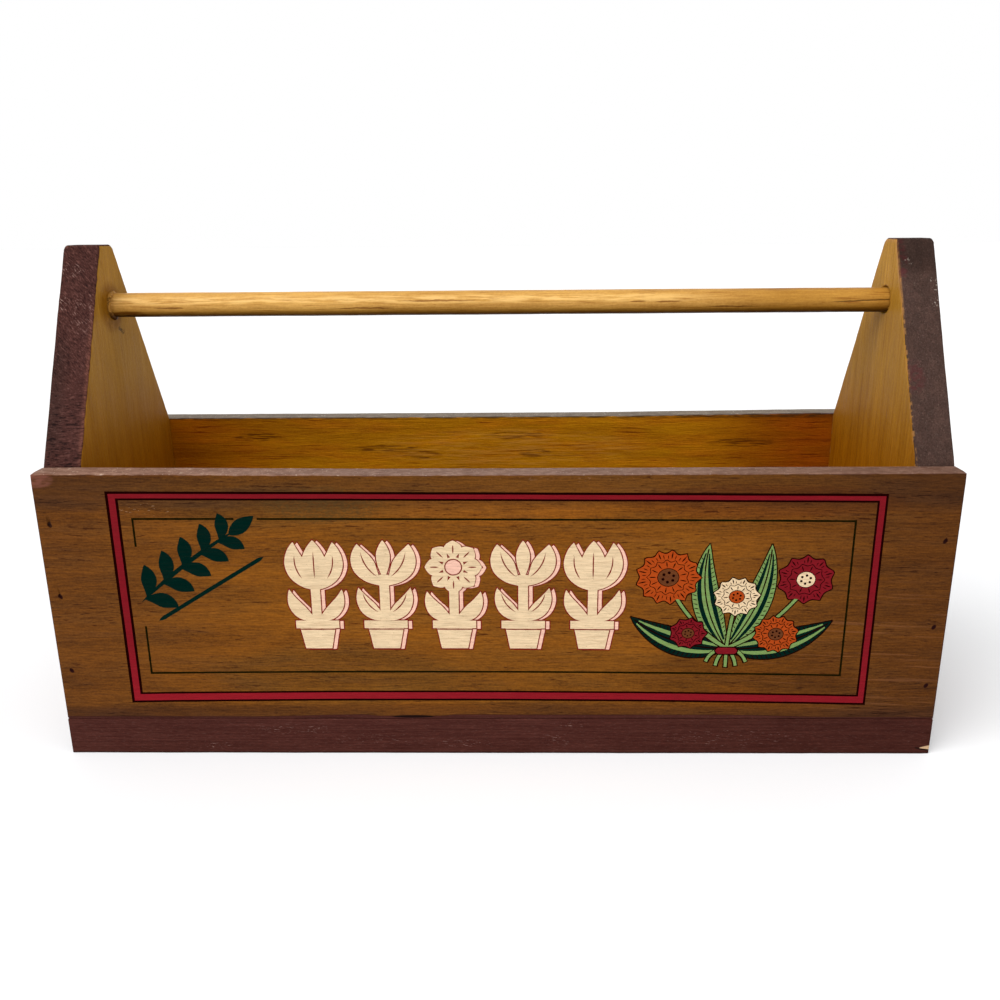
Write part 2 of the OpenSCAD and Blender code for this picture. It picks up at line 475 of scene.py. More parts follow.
woods = {
    "front": {
        "seed": 3.1, "light": (0.285, 0.096, 0.0078), "dark": (0.080, 0.0245, 0.0030),
        "shares": (0.24, 0.24, 0.30, 0.22), "streak": (0.77, 0.71, 0.67), "dash": (0.46, 0.35, 0.26),
        "streakSize": (21.0, 0.45), "dashBand": (0.66, 0.76), "cast": (0.92, 0.98, 1.28)},
    "inside": {
        "seed": 7.7, "light": (0.520, 0.226, 0.0030), "dark": (0.235, 0.080, 0.0010), "wide": 1.8,
        "streakSize": (28.0, 0.9), "streakBand": (0.57, 0.75), "streak": (0.50, 0.36, 0.5),
        "dash": (0.58, 0.44, 0.5), "dashBand": (0.74, 0.82), "cast": (1.10, 0.98, 1.5)},
    "golden": {
        "seed": 5.2, "light": (0.455, 0.232, 0.030), "dark": (0.290, 0.132, 0.010), "bend": 4.0, "wide": 3.4,
        "streakSize": (60.0, 2.0), "streakBand": (0.52, 0.78), "streak": (0.88, 0.82, 0.72),
        "dash": (0.80, 0.70, 0.5), "dashBand": (0.76, 0.84), "shares": (0.26, 0.26, 0.20, 0.28)},
    "dowel": {
        "seed": 9.4, "light": (0.730, 0.410, 0.105), "dark": (0.340, 0.150, 0.022), "bend": 3.0, "wide": 1.5,
        "streakSize": (24.0, 0.8), "streakBand": (0.58, 0.76), "streak": (0.62, 0.50, 0.36),
        "dash": (0.62, 0.48, 0.34), "dashBand": (0.76, 0.84), "shares": (0.40, 0.30, 0.14, 0.16)},
}
maroon = {"deep": (0.038, 0.0088, 0.0062), "worn": (0.074, 0.022, 0.016), "dust": (0.24, 0.14, 0.12)}


def paintColour(f, along, across, depth, look):
    # maroon paint, rubbed along the high fibres and dusty in specks; also gives its surface
    look = {**maroon, **look}
    fine = look.get("fine", 0.9)
    scuffs = f.noise(along / look.get("long", 9.0), across / fine, depth / fine, detail=3, rough=0.7)
    cloud = f.noise(along / 22, across / 8, depth / 8, detail=3, rough=0.6).step(0.3, 0.7)
    fibre = f.noise(along / 3.5, across / 0.55, depth / 0.55, detail=1).step(0.3, 0.7)
    share = look.get("rubbed", 0.5)
    worn = scuffs.step(0.36, 0.72) * share + (0.72 - share) * cloud + 0.28 * fibre
    colour = f.mix(look["deep"], look["worn"], worn)
    speck = look.get("speck", 0.9)
    specks = f.noise(along / 1.3, across / speck, depth / speck, detail=2, rough=0.6).step(0.60, 0.74)
    return f.mix(colour, look["dust"], specks * look.get("specks", 0.15)), scuffs


def boardColour(f, spec):
    # stained wood of a board: its outside, its inside and how it darkens toward its ends and long edges; on
    # the end boards the darker inside toward the bottom is painted shade
    axes = (f.x, f.y, f.z)
    along, across, depth = (axes[k] for k in spec["axes"])
    sides = [woods[spec["outer"]], woods[spec["inner"]]]
    grains = [woodGrain(f, along, across, depth, {**wood, "seed": wood["seed"] + spec.get("seed", 0.0)})
              for wood in sides]
    outside, inside = (woodColour(f, grain, wood) for grain, wood in zip(grains, sides))
    outerGrain = grains[0]
    ends = abs(along - spec["centre"]).step(spec["endFrom"], spec["endTo"])
    outside = f.tint(outside, spec.get("endTint", (1.0, 1.0, 1.0)), ends)
    # inside darkens toward the ends; on the end boards, whose lower end is deep in the box, this is painted
    # shade with a painted reddish bounce light
    inside = f.tint(inside, spec.get("innerTint", (1.0, 1.0, 1.0)), ends)
    if "edgeTint" in spec:
        rims = abs(across - spec["edgeMiddle"] + 3 * outerGrain["bands"]).step(*spec["edgeBand"])
        outside = f.tint(outside, spec["edgeTint"], rims)
    within = ((depth - spec["middle"]) * spec["inward"]).step(-1.0, 1.0)
    return f.mix(outside, inside, within), outerGrain, (along, across, depth)


def boardFinish(name, spec, extra):
    # one board: stain, then maroon paint round its edges, then what extra lays over them
    f = Finish(name)
    wood, grain, (along, across, depth) = boardColour(f, spec)
    wander = f.noise(along / 6, across / 3, depth / 3, detail=2)
    toWood = f.edge() + spec.get("wander", 1.1) * (wander - 0.5)
    mask = toWood.fall(spec["paintTo"] - 0.25, spec["paintTo"] + 0.25)
    paint, scuffs = paintColour(f, along, across, depth, spec.get("paint", {}))
    # the rims' top faces get a paler paint: partly real dust and wear, partly a painted sheen where the
    # light falls on them
    if "rimDustAndSheen" in spec:
        top, _ = paintColour(f, along, across, depth, spec["rimDustAndSheen"])
        paint = f.mix(paint, top, (f.z - rimZ).step(-0.7, -0.2))
    f.colour = f.mix(wood, paint, mask)
    relief = 0.25 * grain["growth"] + 0.2 * grain["fibre"] - 0.4 * grain["dashes"]
    height = relief * (1.0 - mask) + 0.5 * scuffs * mask
    roughness = 0.45 + 0.12 * grain["bands"] + 0.15 * mask
    height = extra(f, height)
    return f.close(f.colour, roughness, height, 0.35, 0.04)


# the boards

boards = {
    "arris": 0.6,
    "step": 4.0,
    "holeSize": (1.05, 0.68), "holeLean": 58, "holeDepth": 1.5,     # the slits that closed over the brads
    "nailHole": 2.1, "nailDepth": 1.7,          # the dents over the nails under the box
    "rise": 1.2, "riseFrom": 55.0, "riseOver": 140,      # the rims run up: left in front, right behind
}
halfHeight = (frontHigh[2] - frontLow[2]) / 2
halfSide = (frontHigh[1] - frontLow[1]) / 2


def centres(node, parts, axis):
    # middle of each separate brad or nail of a packed group, from low to high along one axis
    spots = np.array([v.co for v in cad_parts[node].data.vertices]) / mm
    order = np.sort(spots[:, axis])
    breaks = np.sort(np.argsort(np.diff(order))[-(parts - 1):]) + 1
    return [float((part.min() + part.max()) / 2) for part in np.split(order, breaks)]


leftBrads = centres("front_left_brads", 3, 2)
rightBrads = centres("front_right_brads", 3, 2)
bradX = float(np.mean(corners("front_right_brads"), 0)[0])
longNailX = centres("bottom_front_nails", 4, 0)
longNailY = float(np.mean(corners("bottom_back_nails"), 0)[1])
endNailY = centres("bottom_right_nails", 3, 1)
endNailX = float(np.mean(corners("bottom_right_nails"), 0)[0])


def makeSideBoard(name, low, high, face, material, chips):
    # front board for face -1, back board for face 1
    middle = (low + high) / 2
    size, lean, depth = (boards[k] for k in ("holeSize", "holeLean", "holeDepth"))
    holes = [(side * bradX, z - middle[2], size, side * lean, depth, face)
             for side, heights in ((-1, leftBrads), (1, rightBrads)) for z in heights]
    near = [z - middle[2] for z in leftBrads + rightBrads]
    room = printRoom if face < 0 else 0.0
    rise, riseFrom, riseOver = (boards[k] for k in ("rise", "riseFrom", "riseOver"))
    shell, edge = boardShell({
        "low": low[0], "high": high[0], "thick": high[1] - low[1] - room, "seed": 11 if face < 0 else 23,
        "arris": boards["arris"], "step": boards["step"], "fine": 0.2, "nearReach": 1.5, "lip": 0.25,
        "halfWidth": lambda a: np.full_like(a, halfHeight), "lineWidth": halfHeight,
        "rise": lambda a: rise * np.clip((face * a - riseFrom) / riseOver, 0, 1),
        "nearAlong": (-bradX, bradX), "nearUp" if face > 0 else "nearDown": near, "holes": holes,
        "chips": chips, "axes": (0, 2, 1), "centre": (0.0, middle[2], middle[1] + room / 2)})
    makePiece(name, [shell], material, (name.replace("dressed_", ""),), edge=edge)


sideLook = {
    "axes": (0, 2, 1), "outer": "front", "inner": "inside", "centre": 0.0, "endFrom": 90, "endTo": 225,
    "endTint": (0.62, 0.62, 1.05), "innerTint": (0.90, 0.64, 0.6),
    "edgeMiddle": 82.0, "edgeBand": (50, 56), "edgeTint": (0.62, 0.66, 1.05), "paintTo": 0.45,
    # paler paint on the rim tops: partly dust and wear, partly painted sheen
    "rimDustAndSheen": {"deep": (0.118, 0.060, 0.042), "worn": (0.305, 0.190, 0.142), "dust": (0.50, 0.40, 0.32),
                 "specks": 0.6, "long": 5.0, "fine": 2.2, "speck": 2.0},
}


frontMarks = {   # x, z, half length, half height in mm, and what the wood is multiplied by there
    "shades": (
        (-112, 134, 60, 12, (0.74, 0.81, 1.16)), (5, 134, 62, 10, (1.22, 1.17, 1.1)),
        (128, 136, 80, 10, (0.92, 0.80, 0.80)), (-82, 44, 74, 20, (0.80, 0.88, 1.15)),
        (30, 44, 100, 20, (0.90, 0.94, 1.05)), (124, 42, 66, 22, (0.74, 0.72, 0.74)),
        (0, 23, 300, 7, (0.86, 0.82, 1.0))),
    "slit": (1.75, 1.2),
}


def frontExtras(f, height):
    # greyer to the right; then only outside: shades, scuffs, a worn corner, slits over the brads, the seam
    f.wash((0.78, 0.76, 0.78), f.x.step(60, 215))
    rim = (f.z - rimZ).step(-0.7, -0.2)
    f.wash((1.14, 1.06, 1.0), rim * f.x.fall(-170, -40))
    f.wash((1.0, 0.92, 0.84), rim * f.x.step(60, 160))
    plain = f.colour
    for x, z, long, high, shade in frontMarks["shades"]:
        f.wash(shade, f.patch(x, z, long, high))
    drift = f.noise(f.x / 55, f.y, (f.z + 0.05 * f.x) / 1.1, 2, 0.6).step(0.55, 0.68)
    drift = drift * (0.25 + 0.9 * f.patch(195, 52, 75, 44)).held()
    f.lay((0.190, 0.072, 0.026), drift * 0.38)
    smudge = f.grit(1.6, 1, 0.8, 3).step(0.36, 0.62)
    f.lay((0.055, 0.038, 0.012), 0.4 * smudge * f.patch(-82, 135, 36, 11))
    nicks = f.patch(-168, 133, 16, 4) + f.patch(-63, 143.5, 5, 1.6) + 0.35 * f.patch(40, 147.5, 60, 1.6)
    nicks = nicks.held() * f.grit(2.6, 1, 0.7).step(0.64, 0.70)
    f.lay((0.33, 0.19, 0.10), nicks * 0.7)
    torn = 0.25 + 0.5 * f.grit(4, 1, 1.2).step(0.3, 0.6)
    f.lay((0.175, 0.062, 0.042), f.patch(frontLow[0] + 3, rimZ - 1.5, 9, 5) * torn)
    for side, heights in ((-1, leftBrads), (1, rightBrads)):
        for z in heights:
            u, v = tilted(f.x - side * bradX, f.z - z, side * boards["holeLean"])
            f.lay((0.012, 0.0010, 0.0008), f.spot(u, v, (0, 0), frontMarks["slit"]))
    hump = f.spot(f.x, f.z * 0, (25, 0), (150, 1)) - 0.6 * f.spot(f.x, f.z * 0, (-45, 0), (24, 1))
    seamZ = f.z - bottomHigh[2] - 1.2 + 0.0008 * f.x - 1.2 * hump
    f.lay(paintColour(f, f.x, f.z, f.y, {"long": 34.0})[0], seamZ.fall(-0.2, 0.2))
    crevice = 1.8 * f.patch(-43, bottomHigh[2] + 1.4, 12, 0.85) + 0.45 * abs(seamZ).fall(0.0, 0.35)
    f.lay((0.008, 0.002, 0.0015), crevice.held())
    f.colour = f.mix(plain, f.colour, f.y.fall(frontLow[1] + 1.0, frontLow[1] + 2.5))
    return height - nicks * 0.3


backStreaks = (         # x, z, half length
    (-68, 130, 24), (-46, 126, 12), (-150, 138, 18), (22, 127, 12), (12, 138, 26), (150, 133, 24))


def backExtras(f, height):
    # only inside: redder to the right, short brown streaks, pale ones, and dark dirt under the rim
    inside = (f.y - float(backLow[1])).fall(0.2, 1.0)
    f.wash((0.70, 0.56, 0.7), f.x.step(110, 180) * inside)
    for x, z, long in backStreaks:
        torn = f.noise(f.x / 13 + z, f.y, f.z / 0.8).step(0.44, 0.56) * inside
        f.lay((0.110, 0.030, 0.001), f.patch(x, z, long, 3.2) * torn * 0.9)
    pale = f.grit(30, 1, 1.6, 3, 0.65).step(0.44, 0.62)
    f.lay((0.46, 0.205, 0.026), pale * f.patch(5, 130, 95, 14) * inside * 0.6)
    dirt = f.z.step(rimZ - 2.2, rimZ - 0.5) * inside * f.grit(9, 1, 1, 3).step(0.35, 0.6)
    f.lay((0.045, 0.022, 0.006), dirt * 0.8)
    return height


frontWood = boardFinish("front_stain", {
    **sideLook, "middle": float(frontLow[1] + frontHigh[1]) / 2, "inward": 1.0}, frontExtras)
backWood = boardFinish("back_stain", {
    **sideLook, "middle": float(backLow[1] + backHigh[1]) / 2, "inward": -1.0, "seed": 9.8,
    "rimDustAndSheen": {"deep": (0.118, 0.090, 0.068), "worn": (0.285, 0.236, 0.186), "dust": (0.44, 0.40, 0.35),
                 "specks": 0.7, "long": 7.0, "fine": 2.2, "speck": 2.4}}, backExtras)
makeSideBoard("dressed_front_board", frontLow, frontHigh, -1, frontWood, [
    (frontLow[0] + 1, halfHeight, -halfSide, 4.0, 0.3),
    (frontHigh[0] - 1, halfHeight, -halfSide, 3.0, 0.3)])
makeSideBoard("dressed_back_board", backLow, backHigh, 1, backWood, [
    (backHigh[0] - 2, halfHeight, halfSide, 4.0, 0.6)])
print("front and back boards made")

bottomMiddle = (bottomLow + bottomHigh) / 2
bottomHalf = (bottomHigh[1] - bottomLow[1]) / 2
nailSpots = [(x, y) for x in longNailX for y in (-longNailY, longNailY)]
nailSpots += [(x, y) for x in (-endNailX, endNailX) for y in endNailY]
bottomShell, bottomEdge = boardShell({
    "low": bottomLow[0], "high": bottomHigh[0], "thick": bottomHigh[2] - bottomLow[2], "seed": 37,
    "arris": boards["arris"], "step": boards["step"], "lineWidth": bottomHalf,
    "halfWidth": lambda a: np.full_like(a, bottomHalf),
    "nearAlong": sorted({x for x, y in nailSpots}), "nearDown": sorted({y for x, y in nailSpots}),
    "nearReach": 2.7, "fine": 0.45,
    "holes": [(x, y, (boards["nailHole"],) * 2, 0, boards["nailDepth"], -1) for x, y in nailSpots],
    "chips": [(bottomHigh[0] - 2, -bottomHalf, -bottomMiddle[2] + 2, 2.6, 0.5)],
    "axes": (0, 1, 2), "centre": (0.0, 0.0, bottomMiddle[2])})


bottomScratches = (     # x, z, half length, half height
    (-17, 6.5, 15, 3.2), (30, 8, 9, 4.5), (38, 17, 10, 2.5), (-105, 14, 24, 3.5), (-147, 5, 9, 3),
    (-60, 8, 30, 5), (120, 9, 40, 6))


def bottomExtras(f, height):
    # darker to the right, painted shade at its foot along the floor, pale scratches along the front, and a
    # raw chip at its right corner
    f.wash((0.74, 0.66, 0.60), f.x.step(20, 200) * 0.8)
    # painted shade along the foot, where the board meets the floor
    f.lay((0.016, 0.006, 0.004), f.z.fall(0.3, 1.6) * 0.7)
    along, up = f.x + 3 * f.z, f.z - 0.03 * f.x
    f.wash((1.9, 2.0, 2.0), f.noise(along / 3, f.y, up / 0.7, 3, 0.75).step(0.54, 0.72) * 0.7)
    scratch = f.noise(along / 4 + 3, f.y, up / 0.55, 3, 0.75).step(0.59, 0.67)
    where = 0.16
    for x, z, long, high in bottomScratches:
        where = where + (0.35 if long > 24 else 0.9) * f.patch(x, z, long, high)
    f.lay((0.26, 0.150, 0.125), scratch * where.held() * 0.85)
    front = (f.y - bottomLow[1]).fall(2.0, 5.0)
    past = f.x - 216.5
    tall = past.held() * 0.2 + past * 0.19
    wedge = (abs(f.z - 3.6 - 0.05 * (f.x - 222)) - tall).fall(-0.2, 0.2) * f.x.step(217.1, 217.9)
    f.lay((0.50, 0.33, 0.19), wedge * front)
    split = (abs(f.z - 3.3 + tall) - 0.28).fall(0.0, 0.3) * f.x.step(214.5, 216)
    f.lay((0.012, 0.004, 0.003), split * front)
    return height - scratch * where * 0.3


bottomWood = boardFinish("bottom_paint", {
    "axes": (0, 1, 2), "outer": "front", "inner": "inside", "middle": float(bottomMiddle[2]), "inward": 1.0,
    "centre": 0.0, "endFrom": 150, "endTo": 225, "paintTo": 1.4,
    "paint": {"long": 34.0, "rubbed": 0.55, "specks": 0.06}}, bottomExtras)
makePiece(
    "dressed_bottom_board", [bottomShell], bottomWood, ("bottom_board",),
    edge=bottomEdge)
print("bottom board made")

# the end boards: straight to the rim, then sloping in to the flat top
ends = {
    "halfTop": 7.5, "halfWide": 62.0, "arris": 1.1,
    "mouths": (6.6, 7.0), "mouthDeep": 2.5,     # the left and the right socket, rounder at their mouths
}
dowelZ = float(dowelLow[2] + dowelHigh[2]) / 2


def endHalfWidth(z):
    # full half width up to the rim, then a straight slope to the narrow top
    full = (leftHigh[1] - leftLow[1]) / 2
    rise = np.clip((z - rimZ) / (leftHigh[2] - rimZ), 0, 1)
    return full + (ends["halfTop"] - full) * rise


def makeEndBoard(name, low, high, inward, material, seed):
    middle = (low + high) / 2
    mouth = ends["mouths"][0 if inward > 0 else 1]
    about = (-5.7, -1.9, 1.9, 5.7)
    shell, edge = boardShell({
        "low": low[2], "high": high[2], "thick": high[0] - low[0], "seed": seed, "arris": ends["arris"],
        "step": boards["step"], "rough": 0.35, "edgeWaves": ((33, 1), (7.1, 0.8), (2.9, 0.7)),
        "halfWidth": endHalfWidth, "lineWidth": ends["halfWide"],
        "nearAlong": [dowelZ + v for v in about] + [high[2] - 2.5],
        "nearUp" if inward > 0 else "nearDown": about,
        "holes": [(dowelZ, 0.0, (mouth, mouth), 0, ends["mouthDeep"], inward)],
        "chips": [(high[2], c, t, 2.2, 0.4) for c in (-7, 7) for t in (-9, 9)],
        "axes": (2, 1, 0), "centre": (0.0, 0.0, middle[0])})
    makePiece(name, [shell], material, (name.replace("dressed_", ""),), edge=edge)


# innerTint darkens the end boards' inner faces toward the bottom of the box: painted shade and painted
# reddish bounce light
endLook = {
    "axes": (2, 1, 0), "outer": "front", "inner": "golden", "centre": 232.0, "endFrom": 35, "endTo": 108,
    "endTint": (0.9, 0.86, 0.9), "innerTint": (0.83, 0.58, 0.06), "paintTo": 0.55, "wander": 0.9}


def leftExtras(f, height):
    # the painted slope: torn fibre, slanting above and level below, greyer outside, redder toward the inside
    slant = f.noise((f.x - f.z) / 3.4, f.y / 2, (f.x + f.z) / 0.85, 3, 0.7)
    level = f.noise(f.z / 0.8, f.y / 2, f.x / 3.4, 2, 0.65)
    slope = f.edge().fall(0.3, 0.6)
    share = f.z.step(168, 205)
    rough = slant * share + level * (1.0 - share)
    f.lay((0.165, 0.068, 0.054), rough.step(0.52, 0.68) * slope * (0.34 + 0.26 * share))
    f.lay((0.009, 0.003, 0.0028), rough.fall(0.34, 0.48) * slope * 0.85)
    grey = f.x.fall(leftLow[0] + 2, leftLow[0] + 12) * f.z.step(150, 165) * f.z.fall(196, 222)
    f.wash((0.72, 0.90, 0.92), grey * slope * 0.8)
    fringe = f.x.step(leftHigh[0] - 2.8, leftHigh[0] - 0.4) * f.z.fall(215, 240) * slope
    f.lay((0.210, 0.076, 0.052), fringe * (0.15 + 0.38 * rough.step(0.42, 0.58)))
    flecks = f.patch(-217, 243, 8, 4) + f.patch(-220, 227, 4, 4) + 0.4 * f.patch(-208, 222, 9, 12)
    f.lay((0.38, 0.26, 0.22), flecks.held() * rough.step(0.58, 0.64) * slope * 0.7)

    # its inner face: a cracked fleck, a darker ring of varnish round the socket, and a paler cloud
    inner = (1.0 - slope) * f.x.step(leftHigh[0] - 4, leftHigh[0] - 2)
    torn = f.grit(1, 1.2, 0.9)
    crack = abs(f.z - 210.2 + 0.55 * (f.y - 6.3) + 7 * (torn - 0.5)).fall(0.6, 1.1)
    f.lay((0.065, 0.030, 0.003), crack * f.spot(f.y, f.z, (6.3, 210.2), (5.0, 3.4)) * inner * 0.8)
    stain = f.grit(1, 5, 5).step(0.15, 0.50) * inner * f.spot(f.y, f.z, (-3, dowelZ - 1), (16, 15))
    f.wash((0.66, 0.56, 0.30), stain)
    haze = f.spot(f.y + 0.9 * (f.z - 190), f.z, (22, 192), (22, 34)) * inner
    f.wash((0.97, 1.0, 1.35), haze * 0.5)
    return height + 1.6 * rough * slope


def rightExtras(f, height):
    # worn wood where the painted slope meets the inner face, veins and a paler top on that face
    slope = f.edge().fall(0.3, 0.6)
    inner = (1.0 - slope) * f.x.fall(rightLow[0] + 2, rightLow[0] + 4)
    seam = (f.edge() - 0.6).fall(0.3, 2.2) * abs(f.x - rightLow[0]).fall(0.3, 1.3)
    chips = f.grit(2, 2.4, 3, 3).step(0.50, 0.60) + 0.7 * f.z.step(205, 235)
    f.lay((0.40, 0.190, 0.055), seam * chips.held() * 0.6)
    f.wash((1.15, 1.2, 1.55), f.z.step(205, 245) * inner)
    vein = f.grit(1, 1.3, 26, 3, 0.6)
    f.wash((0.78, 0.70, 0.55), vein.fall(0.34, 0.50) * inner * 0.7)
    f.wash((1.16, 1.18, 1.2), vein.step(0.52, 0.66) * inner * 0.7)

    # the painted slope: grit, dust specks, redder rubbings and a dark top
    grit = f.grit(0.8, 0.8, 0.8, 3, 0.7)
    cloud = f.grit(5, 8, 8, 4, 0.65)
    f.wash((1.5, 1.45, 1.42), cloud.step(0.44, 0.62) * slope * 0.5)
    f.lay((0.145, 0.098, 0.078), grit.step(0.58, 0.72) * slope * 0.55)
    f.lay((0.010, 0.006, 0.005), grit.fall(0.30, 0.44) * slope * 0.6)
    rubbed = (f.patch(205, 246, 4, 13) + 0.7 * f.patch(206, 190, 7, 9)).held()
    f.lay((0.085, 0.018, 0.020), rubbed * f.grit(3, 1, 5, 3).step(0.36, 0.60) * slope * 0.6)
    flecks = f.patch(208.5, 244, 2.5, 2.5) + f.patch(220.5, 233, 2.5, 4) + f.patch(220, 224.5, 2.5, 2.5)
    flecks = (flecks + 0.05).held() * f.grit(1.3, 1, 1.1).step(0.60, 0.66)
    f.lay((0.30, 0.25, 0.21), flecks * slope * 0.75)
    f.wash((0.5, 0.48, 0.46), f.patch(216, 253, 24, 17) * slope * 0.8)
    return height + (0.5 * cloud + 0.6 * grit) * slope


leftWood = boardFinish("left_end_stain", {
    **endLook, "middle": float(leftLow[0] + leftHigh[0]) / 2, "inward": 1.0, "seed": 18.0,
    "paint": {"deep": (0.040, 0.0125, 0.0098), "worn": (0.066, 0.024, 0.019)}}, leftExtras)
rightWood = boardFinish("right_end_stain", {
    **endLook, "middle": float(rightLow[0] + rightHigh[0]) / 2, "inward": -1.0, "seed": 30.0,
    "paint": {"deep": (0.038, 0.021, 0.016), "worn": (0.066, 0.037, 0.030), "long": 1.8, "specks": 0.15},
}, rightExtras)
makeEndBoard("dressed_left_end", leftLow, leftHigh, 1, leftWood, 41)
makeEndBoard("dressed_right_end", rightLow, rightHigh, -1, rightWood, 53)
print("end boards made")


# the handle

handle = {
    "around": 96, "step": 2.5, "waver": 0.06,
    "crackFrom": 178.0, "crackTo": 204.0, "crackAngle": 184.0, "crackDepth": 0.35, "crackHalf": 3.0,
    "crackTurn": 7.0,                           # degrees that the crack turns round the dowel
    "beadAround": 6.9, "beadThick": 0.95,       # the glue that dried round the left end
    "pores": (                                  # x, height above the middle, half length, half height
        (-172, -1.3, 9, 0.5), (-69, -2.0, 18, 0.45), (74, 0.5, 5, 0.4), (90, 0.5, 8, 0.5),
        (124, -2.4, 16, 0.4), (-30, 1.6, 22, 0.5)),
}


def makeDowel(spec):
    # a circle carried along x: (x, r cos q, r sin q), r wavering a little and dipping along one crack
    reach, radius = dowelHigh[0], (dowelHigh[2] - dowelLow[2]) / 2
    x = lines(-reach, reach, spec["step"], (spec["crackFrom"],), reach=3, fine=0.8)
    angle = np.linspace(0, 2 * math.pi, spec["around"], endpoint=False)
    grown = radius - spec["waver"] * (1 + ripple(x, 61))[:, None] * np.ones(len(angle))
    drift = spec["crackTurn"] * (x[:, None] - spec["crackFrom"]) / (spec["crackTo"] - spec["crackFrom"])
    off = np.abs(np.degrees(angle)[None, :] - (spec["crackAngle"] - drift)) / spec["crackHalf"]
    inside = np.clip((x - spec["crackFrom"]) / 6, 0, 1)[:, None]
    grown -= spec["crackDepth"] * np.clip(1 - off ** 2, 0, 1) * inside
    along = np.broadcast_to(x[:, None], grown.shape)
    return closedTube(np.stack([along, grown * np.cos(angle), grown * np.sin(angle) + dowelZ], -1))


def makeBead(spec):
    # a small circle carried round the dowel: radius R(q) + r(q) cos p, and 1.3 r(q) sin p out from the board
    q = np.linspace(0, 2 * math.pi, 72, endpoint=False)[:, None]
    p = np.linspace(0, 2 * math.pi, 12, endpoint=False)[None, :]
    length = q * 60 / (2 * math.pi)
    small = spec["beadThick"] * (1 + 0.45 * ripple(length, 71, ((20.0, 1), (7.5, 0.7), (3.0, 0.4))))
    around = spec["beadAround"] + 0.2 * ripple(length, 72, ((30.0, 1), (10.0, 0.5)))
    reach = around - 0.3 * spec["beadThick"] + small * np.cos(p)
    out = leftHigh[0] + 0.2 + 1.3 * small * np.sin(p)
    return closedLoop(np.stack([out, reach * np.cos(q), reach * np.sin(q) + dowelZ], -1))


def dowelFinish(spec):
    # varnished grain with a painted highlight on top, redder to the right and painted shade below, with
    # pores, stains and a crack
    f = Finish("dowel_varnish")
    grain = woodGrain(f, f.x, f.y, f.z, woods["dowel"])
    f.colour = woodColour(f, grain, woods["dowel"])
    low = f.z - dowelZ
    front = (0.0 - f.y).step(1.0, 3.0)
    # painted highlight: paler patches along the upper front of the dowel
    paintedHighlight = f.grit(16, 1, 1.4, 3, 0.6).step(0.36, 0.62) * f.x.fall(60, 140) * abs(low - 2.4).fall(0.8, 2.8)
    f.lay((0.90, 0.570, 0.200), paintedHighlight * front * 0.62)
    f.wash((0.70, 0.62, 0.40), f.x.step(95, 155))
    # painted shade: darker below the dowel's middle line and near black along its underside
    f.wash((0.80, 0.76, 0.52), low.fall(-4.0, -0.5))
    f.wash((0.15, 0.11, 0.04), low.fall(-6.0, -2.3))
    for x, z, long, high in spec["pores"]:
        bent = f.noise(f.x / 6 + z, f.y, f.z / 5) - 0.5
        f.wash((0.32, 0.20, 0.10), f.spot(f.x, low + 1.2 * bent, (x, z), (long, high)) * front * 0.85)
    torn = f.grit(7, 1.2, 1.2, 3, 0.6).step(0.40, 0.56)
    dirt = f.spot(f.x, low, (-194, -5.0), (12, 2.6)) + 0.5 * f.spot(f.x, low, (-204, 1.0), (4, 8.0))
    f.wash((0.40, 0.24, 0.10), dirt.held() * (0.3 + 0.6 * torn))
    crackZ = low + 0.35 - 0.035 * (f.x - spec["crackFrom"]) + 0.5 * (f.grit(4, 1, 4) - 0.5)
    f.lay((0.050, 0.018, 0.004), abs(crackZ).fall(0.05, 0.30) * f.x.step(172, 180) * front)
    height = 0.2 * grain["growth"] + 0.2 * grain["fibre"] - 0.5 * grain["dashes"]
    return f.close(f.colour, 0.34 + 0.12 * grain["growth"], height, 0.3, 0.1)


def beadFinish():
    # amber glue over the varnish, brown in its hollows, and reddish black underneath as painted shade
    f = Finish("dried_glue")
    hollow = f.grit(1.5, 1.8, 1.8, 3, 0.6).step(0.46, 0.66)
    f.colour = f.mix((0.42, 0.205, 0.040), (0.150, 0.062, 0.009), hollow)
    # painted shade on the underside of the bead
    f.lay((0.045, 0.011, 0.003), (f.z - dowelZ).fall(-5.5, -2.5) * 0.85)
    return f.close(f.colour, 0.35 + 0.2 * hollow, hollow, 0.2, 0.06)


makePiece("dressed_dowel", [makeDowel(handle)], dowelFinish(handle), ("handle_dowel",))
makePiece("glue_bead", [makeBead(handle)], beadFinish())
print("handle made")


# the print on the front: every ink is a set of closed films, 0.08 to 0.3 mm thick

sheet = {
    "face": frontLow[1] + printRoom,            # y of the dressed front
    "layer": 0.02,                              # mm from one layer of ink to the next
    "root": 0.06,                               # mm that a film's underside lies in the wood
    "tiltLow": -0.0035, "tiltHigh": -0.0070,    # how the print's lowest and highest lines slope
    "bowLow": 1.8, "bowHigh": 0.2,              # how far they bow up
    "low": 28.6, "high": 140.6, "halfLong": 187,
    "uneven": 0.05,                             # mm that the edge of the ink wavers
    "stagger": 0.0015,                          # mm between films of one ink in one layer, so none coincide
}
inks = {}


def onSheet(x, z, lift):
    # (x, face - lift, z + x * slope + bow * (1 - (x / half)^2)), slope and bow changing evenly with z
    share = (z - sheet["low"]) / (sheet["high"] - sheet["low"])
    slope = sheet["tiltLow"] + (sheet["tiltHigh"] - sheet["tiltLow"]) * share
    bow = sheet["bowLow"] + (sheet["bowHigh"] - sheet["bowLow"]) * share
    bow = bow * (1 - (x / sheet["halfLong"]) ** 2)
    return np.stack([x, sheet["face"] - lift + 0 * x, z + x * slope + bow], -1)


def layFilm(ink, rings):
    made = inks.setdefault(ink, [])
    rings[..., 1] -= sheet["stagger"] * (len(made) % 12)
    made.append(closedTube(rings))


def alongAndAcross(path):
    # unit vectors along a path and to its left
    run = np.gradient(path, axis=0)
    run /= np.linalg.norm(run, axis=1)[:, None]
    return run, np.column_stack([-run[:, 1], run[:, 0]])


